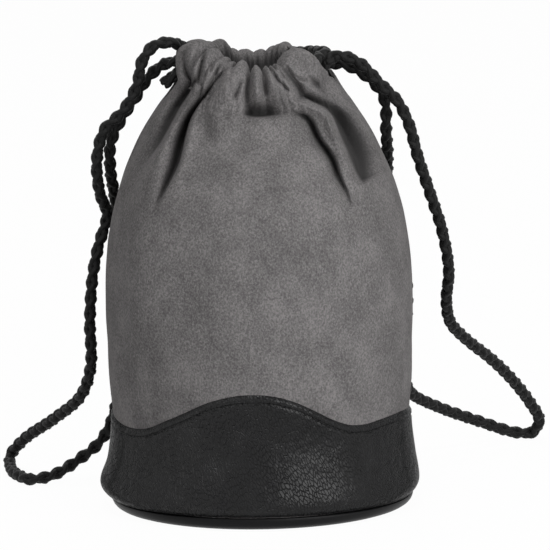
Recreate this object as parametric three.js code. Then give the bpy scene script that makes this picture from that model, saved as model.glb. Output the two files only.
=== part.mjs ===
// Drawstring lens pouch: a soft padded cylinder on a round base, a leather band round its foot,
// a gathered mouth, and two looped cords that draw the mouth shut from opposite sides.
// Millimetres. +Z is up, the front faces -Y, the origin is the middle of the base's underside.
// A turn is an angle about +Z, in radians from the front, growing towards +X.
import * as THREE from 'three';

const { degToRad, lerp, clamp, smoothstep } = THREE.MathUtils;

// Space left between two pieces that touch or are sewn together
const SEWN_GAP = 0.3;
// Space left under the collar, which slides over the shoulder's top edge
const COLLAR_GAP = 0.5;

// Base: a leather tray with a stiff board in it, a welt in the seam groove, padding and lining
// The base's edge lies this far inside the body's outer face
const BASE_INSET = 1.1;
const BASE_RIM_HEIGHT = 3.8;
const BASE_EDGE_ROUND = 2.6;
const RIM_CHAMFER = 0.3;
const TRAY_FLOOR_THICK = 1.2;
const TRAY_RIM_THICK = 2.2;
const BOARD_THICK = 1.8;
const WELT_THICK = 0.8;
const WELT_WIDTH = 4;
const WELT_INSET = 1.2;
const BASE_PADDING_THICK = 4.5;

// Wall layers, from the outside in
const BAND_THICK = 1.4;
const PANEL_THICK = 1.2;
const PADDING_THICK = 2;
const LINING_THICK = 0.8;
// The padding ends this far up the shoulder
const PADDING_RISE = 30;

// Wall outline: foot, swelling behind the band, waist at the band's edge, body, shoulder, neck
const BODY_RADIUS = 59.5;
const FOOT_TUCK = 1.4;
const SWELL = 0.5;
const SWELL_HEIGHT = 9;
const WAIST_TUCK = 2.6;
const WAIST_HEIGHT = 34;
const SHOULDER_FOOT = 80;
const NECK_RADIUS = 30.5;
const NECK_HEIGHT = 168;
const SHOULDER_CURVE = 2.4;
// The neck's edge turns in under the casing, to this far outside the casing's middle
const NECK_LIP_INSET = 0.8;

// The neck's edge hangs lower at the front and rear, and in a notch at each side slit
const COLLAR_DIP = 8;
const SLIT_DROP = 7;

// Deep folds of one half's shoulder: degrees at the neck, degrees at the foot, depth in mm
const FOLDS = [
  [-57, -56, 3],
  [-39, -46, 4],
  [26, 39, 4],
  [41, 51, 4],
];
const FOLD_HALF_WIDTH = 9;

// Leather band: level round the sides, with one wave up at the middle of each half
const BAND_HEIGHT = 37;
// The band's rows are level up to this far below its edge
const BAND_EDGE_DEPTH = 4;
const BAND_WAVE = 16.5;
const BAND_WAVE_HALF_WIDTH = 47;
const BAND_WAVE_MIDDLE = -4;

// Casing: the gathered tunnel round the mouth, one half in front and one behind
const CASING_RADIUS = 25.5;
const CASING_WALL = 1.4;
const CASING_END = 72;
const GATHER_DEPTH = 1;

// Cords: the left cord keeps to the upper lane of the tunnel and the right cord to the lower
const CORD_DIAMETER = 4.6;
const CORD_GAP = 0.6;
const LANE_GAP = 0.9;
const TUNNEL_CLEARANCE = 0.6;
const CORD_SIDES = 8;
const CORD_STEP = 2.2;
const END_STEPS = 12;
const CROSSING_STEPS = 12;
const CROSSING_EASE = 3;
// How far out and up the left and the right cord bulge where they cross the slit opposite their loop
const LEFT_CROSSING = [2.3, 0];
const RIGHT_CROSSING = [9, -5];
// Space left between a cord and the surface that it lies on
const RESTING_GAP = 0.05;

// The cords' routes are drawn for a pouch of this body radius and neck height
const DRAWN_RADIUS = 59.5;
const DRAWN_HEIGHT = 168;

// Left loop, from the slit's rear edge out, down to the surface, behind the body and up again
const LEFT_ROUTE = [
  [-27.5, 3, 179.5], [-32, -0.5, 182], [-38.8, -2.5, 181.3], [-43.7, -3, 175], [-45.7, -2, 166],
  [-51, -1, 156], [-59, 1, 147.5], [-62, 3, 135], [-61, 8, 121.5], [-58.5, 14.5, 112],
  [-62, 13, 100.5], [-64.5, 12, 89], [-66, 13, 71], [-66, 18, 52], [-70, 28, 38.5],
  [-81, 48, 25.5], [-93, 70, 13.5], [-98.5, 78, 5.5], [-98.5, 67, 2.4], [-96, 51, 2.4],
  [-90, 41, 2.4], [-82, 44.5, 3.6], [-72, 49.5, 8.6], [-63, 50.5, 16], [-57.5, 48, 28],
  [-55.5, 40, 54.5], [-55, 33, 87], [-54.8, 29, 103], [-55.5, 22.5, 117], [-57, 11, 131.5],
  [-56.3, 6.5, 142.5], [-52.2, 5, 151.5], [-46.8, 5, 159.5], [-41.8, 4, 167.3], [-35.7, 1.5, 173],
  [-28.5, -3, 175.5],
];
// Right loop, from the slit's rear edge down close behind the body, to the surface and up in front
const RIGHT_ROUTE = [
  [28, 4.6, 173], [34, 4.2, 172.6], [39.5, 4.4, 169.6], [45, 4.3, 165], [49, 4.3, 160],
  [50.4, 4.4, 155], [50.4, 5.2, 149], [50.5, 8, 143], [50.9, 15, 135], [51.2, 25, 123.5],
  [53, 27.5, 113], [57, 25.5, 100.5], [59.5, 24, 84], [59.8, 26, 72], [59.3, 38, 58],
  [58.5, 60, 42], [60, 80, 27.5], [70, 97, 18], [85, 112, 9.5], [98.5, 120, 2.6],
  [105.5, 121, 2.6], [109, 118, 8], [106, 108, 17], [99, 91, 30], [91, 75, 41],
  [81, 57, 52.5], [74.5, 42, 62.5], [73, 31, 73], [74, 21, 87], [71.5, 14, 104],
  [66.7, 6, 121], [62.3, 0.5, 136], [59.2, -1.6, 148.5], [54.8, -3.2, 158], [48, -3.6, 165.3],
  [40, -3.8, 173.4], [33.5, -4, 176.2], [28, -4.6, 174],
];
// Where each loop parts from its two fixed ends: the height of the cut on the way out and back
const LEFT_CUTS = [150.5, 148.5];
const RIGHT_CUTS = [147.5, 149.5];

// Grid of every sewn shell: steps round one half and rows up the wall
const HALF_STEPS = 26;
const WALL_ROWS = 13;
const ROUND_STEPS = 40;

const LOOKS = {
  suede: { color: 0x6c6a69, roughness: 0.95, metalness: 0 },
  leather: { color: 0x2a2a2b, roughness: 0.5, metalness: 0 },
  lining: { color: 0x3a3a3c, roughness: 0.9, metalness: 0 },
  foam: { color: 0xb9b9b4, roughness: 1, metalness: 0 },
  board: { color: 0x8a7a62, roughness: 0.9, metalness: 0 },
  cord: { color: 0x1b1b1c, roughness: 0.8, metalness: 0 },
};

const BASE_RADIUS = BODY_RADIUS - BASE_INSET;
const WALL_FOOT = BASE_RIM_HEIGHT + SEWN_GAP + WELT_THICK + SEWN_GAP;
const CORD_RADIUS = CORD_DIAMETER / 2;
const LANE_OFFSET = (CORD_DIAMETER + LANE_GAP) / 2;
const TUNNEL_HALF_WIDTH = CORD_RADIUS + TUNNEL_CLEARANCE;
const TUNNEL_HALF_HEIGHT = LANE_OFFSET + CORD_RADIUS + TUNNEL_CLEARANCE;
const CASING_HEIGHT = 2 * (TUNNEL_HALF_HEIGHT + CASING_WALL);

const group = new THREE.Group();
group.name = 'lens_pouch';

function add(name, geometry, look) {
  const mesh = new THREE.Mesh(geometry, new THREE.MeshStandardMaterial(LOOKS[look]));
  mesh.name = name;
  group.add(mesh);
}

// Outline of the wall's outer face as radius and height, from the foot (0) to the neck (1)
const wallCurve = new THREE.SplineCurve([
  [BODY_RADIUS - FOOT_TUCK, WALL_FOOT],
  [BODY_RADIUS + SWELL, SWELL_HEIGHT],
  [BODY_RADIUS - WAIST_TUCK / 2, lerp(SWELL_HEIGHT, WAIST_HEIGHT, 0.45)],
  [BODY_RADIUS - WAIST_TUCK, WAIST_HEIGHT],
  [BODY_RADIUS - WAIST_TUCK / 2, lerp(WAIST_HEIGHT, SHOULDER_FOOT, 0.35)],
  ...shoulderPoints(7),
  [CASING_RADIUS + NECK_LIP_INSET, NECK_HEIGHT],
].map(([radius, height]) => new THREE.Vector2(radius, height)));

function shoulderPoints(parts) {
  return Array.from({ length: parts + 1 }, (_, k) => {
    const rise = k / parts;
    const draw = rise ** SHOULDER_CURVE;
    return [lerp(BODY_RADIUS, NECK_RADIUS, draw), lerp(SHOULDER_FOOT, NECK_HEIGHT, rise)];
  });
}

// The outline is straight from row to row, so that layers with other rows stay parallel to it
const wallRows = Array.from({ length: WALL_ROWS + 1 }, (_, row) => row / WALL_ROWS);
const outlineRows = wallRows.map((part) => [wallCurve.getPoint(part), wallCurve.getTangent(part)]);

function outlineAt(part) {
  const row = Math.min(Math.floor(part * WALL_ROWS + 1e-9), WALL_ROWS - 1);
  const share = part * WALL_ROWS - row;
  const next = outlineRows[row + 1];
  const [point, along] = outlineRows[row].map((start, k) => start.clone().lerp(next[k], share));
  return { point, along };
}

// How much lower the collar hangs at this turn than at the sides
function collarDrop(turn) {
  return COLLAR_DIP * Math.cos(turn) ** 2;
}

// How much lower the neck's edge lies in the notch under a side slit
function slitDrop(turn) {
  return SLIT_DROP * (1 - smoothstep(Math.abs(Math.cos(turn)), 0.05, 0.27));
}

// Depth of the gathered folds at this turn, when the shoulder has risen this far
function foldDepth(turn, rise) {
  const degrees = THREE.MathUtils.radToDeg(turn);
  let depth = 0;
  for (const [top, foot, deepest] of FOLDS) {
    const aside = (degrees - lerp(foot, top, rise)) / FOLD_HALF_WIDTH;
    depth += deepest * Math.exp(-aside * aside * 3);
  }
  return depth * smoothstep(rise, 0.25, 0.7) * (1 - 0.6 * smoothstep(rise, 0.8, 1));
}

// Point of the wall: part of the way up, turn within one half, depth inward from the outer face
function wallPoint(part, turn, depth) {
  const { point, along } = outlineAt(part);
  const rise = clamp((point.y - SHOULDER_FOOT) / (NECK_HEIGHT - SHOULDER_FOOT), 0, 1);
  const radius = point.x - depth * along.y - foldDepth(turn, rise);
  const drop = (collarDrop(turn) + slitDrop(turn)) * smoothstep(rise, 0.3, 1);
  const height = point.y + depth * along.x - drop;
  return atTurn(radius, turn, height);
}

function atTurn(radius, turn, height) {
  return new THREE.Vector3(radius * Math.sin(turn), -radius * Math.cos(turn), height);
}

// Part of the way up the outline at which it reaches a height
function partAtHeight(height) {
  let low = 0;
  let high = 1;
  for (let k = 0; k < 40; k += 1) {
    const middle = (low + high) / 2;
    if (outlineAt(middle).point.y < height) low = middle;
    else high = middle;
  }
  return (low + high) / 2;
}

// Inner face of the lining at a height on the straight part of the wall
function clearRadius(height) {
  const part = partAtHeight(height);
  return outlineAt(part).point.x - liningDepth(0) - LINING_THICK;
}

// Closed body between two grids of points; `place(row, step, inner)` gives each point
function closedShell(rows, steps, place) {
  const positions = [];
  const index = [];
  const across = steps + 1;
  for (const inner of [false, true]) {
    for (let row = 0; row <= rows; row += 1) {
      for (let step = 0; step < across; step += 1) positions.push(...place(row, step, inner));
    }
  }
  const at = (row, step, inner) => (inner ? (rows + 1) * across : 0) + row * across + step;
  const quad = (a, b, c, d) => index.push(a, b, c, a, c, d);
  for (let row = 0; row < rows; row += 1) {
    for (let step = 0; step < steps; step += 1) {
      quad(at(row, step), at(row, step + 1), at(row + 1, step + 1), at(row + 1, step));
      quad(at(row, step, true), at(row + 1, step, true), at(row + 1, step + 1, true),
        at(row, step + 1, true));
    }
    quad(at(row, 0), at(row + 1, 0), at(row + 1, 0, true), at(row, 0, true));
    quad(at(row, steps), at(row, steps, true), at(row + 1, steps, true), at(row + 1, steps));
  }
  for (let step = 0; step < steps; step += 1) {
    quad(at(0, step), at(0, step, true), at(0, step + 1, true), at(0, step + 1));
    quad(at(rows, step), at(rows, step + 1), at(rows, step + 1, true), at(rows, step, true));
  }
  const geometry = new THREE.BufferGeometry();
  geometry.setAttribute('position', new THREE.Float32BufferAttribute(positions, 3));
  geometry.setIndex(index);
  geometry.computeVertexNormals();
  return geometry;
}

// One half's shell, from row to row, with its outer and inner depth at each row and turn
function halfShell(parts, outerDepth, innerDepth) {
  const side = Math.PI / 2 - SEWN_GAP / 2 / NECK_RADIUS;
  return closedShell(parts.length - 1, HALF_STEPS, (row, step, inner) => {
    const turn = lerp(-side, side, step / HALF_STEPS);
    const part = parts[row] instanceof Function ? parts[row](turn) : parts[row];
    return wallPoint(part, turn, inner ? innerDepth(part) : outerDepth(part));
  });
}

const paddedRows = wallRows.filter((part) => outlineAt(part).point.y < SHOULDER_FOOT + PADDING_RISE);
const paddingTop = paddedRows.at(-1);

const paddingDepth = () => PANEL_THICK + SEWN_GAP;

// The lining lies behind the padding, and above the padding's top behind the panel
function liningDepth(part) {
  const behindPanel = PANEL_THICK + SEWN_GAP;
  return part > paddingTop + 1e-6 ? behindPanel : behindPanel + PADDING_THICK + SEWN_GAP;
}

function panel() {
  return halfShell(wallRows, () => 0, () => PANEL_THICK);
}

function padding() {
  return halfShell(paddedRows, paddingDepth, () => paddingDepth() + PADDING_THICK);
}

function lining() {
  return halfShell(wallRows, liningDepth, (part) => liningDepth(part) + LINING_THICK);
}

function bandEdge(turn) {
  const degrees = THREE.MathUtils.radToDeg(turn) - BAND_WAVE_MIDDLE;
  const across = clamp(degrees / BAND_WAVE_HALF_WIDTH, -1, 1);
  return BAND_HEIGHT + BAND_WAVE * (0.5 + 0.5 * Math.cos(Math.PI * across));
}

// The band keeps the panel's rows as far as its level edge, then follows the wave
function band() {
  const level = wallRows.filter((part) => outlineAt(part).point.y < BAND_HEIGHT - BAND_EDGE_DEPTH);
  const start = outlineAt(level.at(-1)).point.y;
  const waved = [0.5, 1].map((share) => (turn) => partAtHeight(lerp(start, bandEdge(turn), share)));
  return halfShell([...level, ...waved], () => -SEWN_GAP - BAND_THICK, () => -SEWN_GAP);
}

// Middle height of the casing over the neck's edge
function casingMiddle(turn) {
  return NECK_HEIGHT - collarDrop(turn) + COLLAR_GAP + CASING_HEIGHT / 2;
}

// Point on an upright stadium section of the casing at this turn
function stadium(turn, angle, halfWidth, halfHeight) {
  const straight = halfHeight - halfWidth;
  const out = halfWidth * Math.cos(angle);
  const up = halfWidth * Math.sin(angle) + Math.sign(Math.round(Math.sin(angle) * 1e6)) * straight;
  return atTurn(CASING_RADIUS + out, turn, casingMiddle(turn) + up);
}

// Gathered tunnel: ridges every second step, and a clear bore for two cords
function casing() {
  const end = degToRad(CASING_END);
  const steps = Math.round((HALF_STEPS * CASING_END) / 90);
  const sides = 10;
  const positions = [];
  const index = [];
  for (let step = 0; step <= steps; step += 1) {
    const turn = lerp(-end, end, step / steps);
    const ridge = step % 2 ? GATHER_DEPTH : 0;
    for (const bore of [false, true]) {
      for (let side = 0; side < sides; side += 1) {
        const angle = (2 * Math.PI * (side + 0.5)) / sides;
        const halfWidth = bore ? TUNNEL_HALF_WIDTH : TUNNEL_HALF_WIDTH + CASING_WALL + ridge;
        const halfHeight = bore ? TUNNEL_HALF_HEIGHT : CASING_HEIGHT / 2;
        positions.push(...stadium(turn, angle, halfWidth / Math.cos(Math.PI / sides), halfHeight));
      }
    }
  }
  const at = (step, side, bore) => step * 2 * sides + (bore ? sides : 0) + (side % sides);
  const quad = (a, b, c, d) => index.push(a, b, c, a, c, d);
  for (let side = 0; side < sides; side += 1) {
    for (let step = 0; step < steps; step += 1) {
      quad(at(step, side), at(step + 1, side), at(step + 1, side + 1), at(step, side + 1));
      quad(at(step, side, true), at(step, side + 1, true), at(step + 1, side + 1, true),
        at(step + 1, side, true));
    }
    quad(at(0, side), at(0, side + 1), at(0, side + 1, true), at(0, side, true));
    quad(at(steps, side), at(steps, side, true), at(steps, side + 1, true), at(steps, side + 1));
  }
  const geometry = new THREE.BufferGeometry();
  geometry.setAttribute('position', new THREE.Float32BufferAttribute(positions, 3));
  geometry.setIndex(index);
  geometry.computeVertexNormals();
  return geometry;
}

// A stretch of a longer curve, between two shares of its length
class Stretch extends THREE.Curve {
  constructor(whole, from, to) {
    super();
    this.whole = whole;
    this.from = from;
    this.to = to;
  }

  getPoint(share, target = new THREE.Vector3()) {
    return this.whole.getPointAt(lerp(this.from, this.to, share), target);
  }
}

// Round cord along a curve, with a step every few diameters unless the steps are given
function cord(curve, steps = Math.round(curve.getLength() / (CORD_STEP * CORD_DIAMETER))) {
  const section = new THREE.Shape();
  for (let side = 0; side < CORD_SIDES; side += 1) {
    const angle = (2 * Math.PI * side) / CORD_SIDES;
    const place = [CORD_RADIUS * Math.cos(angle), CORD_RADIUS * Math.sin(angle)];
    if (side === 0) section.moveTo(...place);
    else section.lineTo(...place);
  }
  return new THREE.ExtrudeGeometry(section, { steps, extrudePath: curve });
}

// Point in a lane of the tunnel; `lane` is 1 above and -1 below
function lanePoint(turn, lane) {
  return atTurn(CASING_RADIUS, turn, casingMiddle(turn) + lane * LANE_OFFSET);
}

// The stretch of cord inside one half of the casing, flush with its ends
function tunnelRun(lane) {
  const end = degToRad(CASING_END);
  const points = 18;
  const route = Array.from({ length: points + 1 }, (_, k) => lanePoint(lerp(-end, end, k / points), lane));
  return cord(new THREE.CatmullRomCurve3(route), points);
}

// Where a cord leaves the casing: side -1 is left, and depth -1 is the front half
function slitPoint(side, depth, lane, past = CORD_GAP) {
  const point = lanePoint(degToRad(CASING_END) + past / CASING_RADIUS, lane);
  return new THREE.Vector3(side * point.x, -depth * point.y, point.z);
}

// The two points that a cord's end has in line with the tunnel
function slitLead(side, depth, lane) {
  const start = slitPoint(side, depth, lane);
  return [start, slitPoint(side, depth, lane, CORD_GAP + CORD_DIAMETER / 3)];
}

// A cord crossing the slit opposite its own loop, bulging out of the ring and up or down
function crossing(side, lane, [out, up]) {
  const start = degToRad(CASING_END) + CORD_GAP / CASING_RADIUS;
  const route = Array.from({ length: CROSSING_STEPS + 1 }, (_, k) => {
    const share = k / CROSSING_STEPS;
    const swell = Math.sin(Math.PI * share) ** CROSSING_EASE;
    const point = lanePoint(side * lerp(start, Math.PI - start, share), lane);
    return point.add(new THREE.Vector3(side * out, 0, up).multiplyScalar(swell));
  });
  return cord(new THREE.CatmullRomCurve3(route), CROSSING_STEPS);
}

// Whole free loop: out of the slit's rear edge, round the route and back to its front edge
function loopCurve(side, lane, route) {
  const across = BODY_RADIUS / DRAWN_RADIUS;
  const up = NECK_HEIGHT / DRAWN_HEIGHT;
  const floor = CORD_RADIUS + RESTING_GAP;
  const middle = route.map(([x, y, z]) => new THREE.Vector3(x * across, y * across, Math.max(z * up, floor)));
  const curve = new THREE.CatmullRomCurve3(
    [...slitLead(side, 1, lane), ...middle, ...slitLead(side, -1, lane).reverse()],
    false,
    'centripetal',
  );
  curve.arcLengthDivisions = 800;
  return curve;
}

// Share of the curve's length at which it first drops below a height, counted from one end
function shareAtHeight(curve, height, fromEnd) {
  const divisions = 800;
  for (let k = 0; k <= divisions; k += 1) {
    const share = fromEnd ? 1 - k / divisions : k / divisions;
    if (curve.getPointAt(share).z < height) return share;
  }
  return fromEnd ? 0 : 1;
}

function addCord(name, side, lane, route, cuts, bulge) {
  const curve = loopCurve(side, lane, route);
  const up = NECK_HEIGHT / DRAWN_HEIGHT;
  const out = shareAtHeight(curve, cuts[0] * up, false);
  const back = shareAtHeight(curve, cuts[1] * up, true);
  const half = SEWN_GAP / 2 / curve.getLength();
  add(`${name}_cord_loop`, cord(new Stretch(curve, out + half, back - half)), 'cord');
  add(`${name}_cord_rear_end`, cord(new Stretch(curve, 0, out - half), END_STEPS), 'cord');
  add(`${name}_cord_front_end`, cord(new Stretch(curve, back + half, 1), END_STEPS), 'cord');
  add(`${name}_cord_front_run`, tunnelRun(lane), 'cord');
  add(`${name}_cord_rear_run`, tunnelRun(lane).rotateZ(Math.PI), 'cord');
  add(`${name}_cord_crossing`, crossing(-side, lane, bulge), 'cord');
}

// Body of revolution about +Z from an outline of radius and height points, closed at the axis
function turned(outline) {
  const points = outline.map(([radius, height]) => new THREE.Vector2(radius, height));
  return new THREE.LatheGeometry(points, ROUND_STEPS).rotateX(Math.PI / 2);
}

function disc(radius, bottom, top) {
  return turned([[0, bottom], [radius, bottom], [radius, top], [0, top]]);
}

// Tray with a flat underside, a rounded lower edge and a rim that hides the board
function baseCover() {
  const inside = BASE_RADIUS - TRAY_RIM_THICK;
  const outline = [[0, 0]];
  for (let k = 0; k <= 4; k += 1) {
    const angle = (Math.PI / 2) * (k / 4);
    const out = BASE_RADIUS - BASE_EDGE_ROUND * (1 - Math.sin(angle));
    outline.push([out, BASE_EDGE_ROUND * (1 - Math.cos(angle))]);
  }
  outline.push([BASE_RADIUS - RIM_CHAMFER, BASE_RIM_HEIGHT], [inside, BASE_RIM_HEIGHT]);
  outline.push([inside, TRAY_FLOOR_THICK], [0, TRAY_FLOOR_THICK]);
  return turned(outline);
}

function baseWelt() {
  const outer = BASE_RADIUS - WELT_INSET;
  const inner = outer - WELT_WIDTH;
  const bottom = BASE_RIM_HEIGHT + SEWN_GAP;
  const top = bottom + WELT_THICK;
  return turned([[inner, bottom], [outer, bottom], [outer, top], [inner, top], [inner, bottom]]);
}

function addBase() {
  const boardBottom = TRAY_FLOOR_THICK + SEWN_GAP;
  const boardTop = boardBottom + BOARD_THICK;
  const paddingBottom = boardTop + SEWN_GAP;
  const paddingTopHeight = paddingBottom + BASE_PADDING_THICK;
  const liningBottom = paddingTopHeight + SEWN_GAP;
  const paddingRadius = BASE_RADIUS - WELT_INSET - WELT_WIDTH - SEWN_GAP;
  const boardRadius = BASE_RADIUS - TRAY_RIM_THICK - SEWN_GAP;
  const footRadius = clearRadius(WALL_FOOT) - 2 * SEWN_GAP;
  add('base_cover', baseCover(), 'leather');
  add('base_board', disc(boardRadius, boardBottom, boardTop), 'board');
  add('base_welt', baseWelt(), 'leather');
  add('base_padding', disc(Math.min(paddingRadius, footRadius), paddingBottom, paddingTopHeight), 'foam');
  add('base_lining', disc(footRadius, liningBottom, liningBottom + LINING_THICK), 'lining');
}

function addHalf(name, turnRound) {
  add(`${name}_panel`, panel().rotateZ(turnRound), 'suede');
  add(`${name}_padding`, padding().rotateZ(turnRound), 'foam');
  add(`${name}_lining`, lining().rotateZ(turnRound), 'lining');
  add(`${name}_band`, band().rotateZ(turnRound), 'leather');
  add(`${name}_casing`, casing().rotateZ(turnRound), 'suede');
}

addBase();
addHalf('front', 0);
addHalf('rear', Math.PI);
addCord('left', -1, 1, LEFT_ROUTE, LEFT_CUTS, LEFT_CROSSING);
addCord('right', 1, -1, RIGHT_ROUTE, RIGHT_CUTS, RIGHT_CROSSING);

export default group;
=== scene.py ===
"""Drawstring lens pouch: suede, leather, lining and cords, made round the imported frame.

Shapes are worked out in millimetres in the frame's axes (+Z up, front at -Y, origin under the base)
and become metres when a mesh is made. A turn is an angle about +Z, in degrees from the middle of a
half, growing to the right as that half is looked at from outside.
"""
import math

import bpy
import numpy as np
from mathutils import Matrix, Vector, noise


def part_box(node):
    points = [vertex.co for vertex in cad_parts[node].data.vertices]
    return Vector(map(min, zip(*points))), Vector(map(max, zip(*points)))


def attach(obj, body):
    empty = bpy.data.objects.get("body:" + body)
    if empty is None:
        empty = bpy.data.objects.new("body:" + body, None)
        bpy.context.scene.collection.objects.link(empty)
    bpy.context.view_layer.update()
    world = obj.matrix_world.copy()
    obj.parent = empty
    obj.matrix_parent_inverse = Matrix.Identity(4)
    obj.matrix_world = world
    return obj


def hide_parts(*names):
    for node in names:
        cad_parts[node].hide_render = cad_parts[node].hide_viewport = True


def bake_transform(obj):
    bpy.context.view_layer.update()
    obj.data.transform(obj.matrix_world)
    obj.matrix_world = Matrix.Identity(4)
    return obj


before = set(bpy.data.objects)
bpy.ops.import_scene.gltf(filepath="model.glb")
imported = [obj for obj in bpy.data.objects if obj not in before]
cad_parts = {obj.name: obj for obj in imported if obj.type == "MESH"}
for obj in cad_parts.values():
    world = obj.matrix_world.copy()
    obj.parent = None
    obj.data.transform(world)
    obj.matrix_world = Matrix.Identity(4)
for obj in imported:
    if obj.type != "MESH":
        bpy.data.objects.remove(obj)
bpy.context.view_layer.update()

MM = 0.001

# Wall, as the frame has it
BODY_RADIUS = 59.5
SHOULDER_FOOT = 80
NECK_RADIUS = 30.5
NECK_HEIGHT = 168
SHOULDER_CURVE = 2.4
COLLAR_DIP = 8
WALL_FOOT = 5.2
SUEDE_THICK = 1.2
FOAM_THICK = 2
LINING_THICK = 0.8
LINING_ROOM = 0.8
SEWN_GAP = 0.3
FOAM_TOP = 108

# Gathered casing and the two lanes of cord inside it
CASING_RADIUS = 25.5
CASING_MIDDLE = 175.55
CASING_END = 72
LANE_OFFSET = 2.75
LEFT_CROSSING = (2.3, 0)
RIGHT_CROSSING = (9.6, -6.6)
CROSSING_EASE = 3
SLIT_FOOT = 161
CORD_ROOM = 29.1
HEM_HEIGHT = 168.4
SLIT_SAG = 1.6

# Leather band and base
BAND_THICK = 1.4
# Upper edge of the band: turn and height
BAND_EDGE = [
    (-90, 37), (-78, 36), (-62, 35.4), (-50, 37), (-40, 41), (-30, 45.4), (-20, 50.2), (-10, 52.8),
    (-3, 53.3), (4, 52.8), (12, 50.4), (20, 46.4), (28, 42), (36, 38.9), (44, 38), (54, 38.6), (70, 38.8),
    (90, 37),
]
BINDING_HEIGHT = 2.9
STITCH_PITCH = 2.1
STITCH_LENGTH = 1.5
THREAD_RADIUS = 0.22
BASE_RADIUS = 58.4
BASE_RIM_HEIGHT = 3.8
FRONT_LIFT = 1
BAND_STEPS = 220
BAND_SEAM_TURN = 0.15
BAND_OVERHANG = 0.4
LEFT_BELLY = 1.4
RIGHT_FLATNESS = 0.5
STITCH_SINK = 0.35
EDGE_BULGE = 0.45

# Cords: round braid of four strands
CORD_DIAMETER = 4.6
CORD_GAP = 0.6
LOOP_START = 2
BRAID_PITCH = 12.4
STRAND_RADIUS = 1.25
STRAND_RING = 1.05
STRAND_WEAVE = 0.27
ROPE_STEP = 0.55
STRAND_SIDES = 8

LEFT_ROUTE = [
    (-27.5, 3, 179.5), (-32, -0.5, 182), (-38.8, -2.5, 181.3), (-43.7, -3, 175), (-45.7, -2, 166),
    (-51, -1, 156), (-59, 1, 147.5), (-62, 3, 135), (-61, 8, 121.5), (-58.5, 14.5, 112),
    (-62, 13, 100.5), (-64.5, 12, 89), (-66, 13, 71), (-66, 18, 52), (-70, 28, 38.5),
    (-81, 48, 25.5), (-93, 70, 13.5), (-99, 78, 5.5), (-99, 67, 2.8), (-96, 51, 2.8),
    (-90, 41, 2.8), (-82, 44.5, 3.6), (-72, 49.5, 8.6), (-63, 50.5, 16), (-57.5, 48, 28),
    (-55.5, 40, 54.5), (-55, 33, 87), (-54.8, 29, 103), (-55.5, 22.5, 117), (-57, 11, 131.5),
    (-56.3, 6.5, 142.5), (-52.2, 5, 151.5), (-46.8, 5, 159.5), (-41.8, 4, 167.3), (-35.7, 1.5, 173),
    (-28.5, -3, 175.5),
]
RIGHT_ROUTE = [
    (28, 5, 171.6), (34, 4.4, 171.6), (39.5, 4.4, 169.2), (45, 4.3, 165), (49, 4.3, 160),
    (50.4, 4.4, 155), (50.4, 5.2, 149), (50.5, 8, 143), (50.9, 15, 135), (50.8, 25.5, 123.5),
    (51.8, 28.5, 113), (54.4, 30, 100.5), (57.3, 29, 84), (57.7, 30, 72), (56.6, 40, 58),
    (56.5, 60, 42), (58.8, 80, 27.5), (70, 97, 18), (86.5, 112, 9), (101, 120, 2.8),
    (107.5, 121, 2.8), (110, 118, 8), (106.5, 108, 17), (99, 91, 30), (91, 75, 41),
    (81, 57, 52.5), (74.5, 42, 62.5), (73, 31, 73), (74, 21, 87), (71.5, 14, 104),
    (66.7, 6, 121), (62.3, 0.5, 136), (59.2, -1.6, 148.5), (54.8, -3.2, 158), (48, -3.6, 165.3),
    (40, -3.8, 173.6), (31.4, -4.4, 176.4), (28, -5, 173.6),
]

# Picture: a long lens looking slightly down, turned a little about its own axis
PICTURE_PIXELS = 550
PICTURE_SCALE = 0.388
VIEW_ELEVATION = 10.3
VIEW_ROLL = 1.0
VIEW_DISTANCE = 6000
VIEW_TARGET = (6.3, 0, 89.8)
SENSOR_WIDTH = 36

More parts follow.
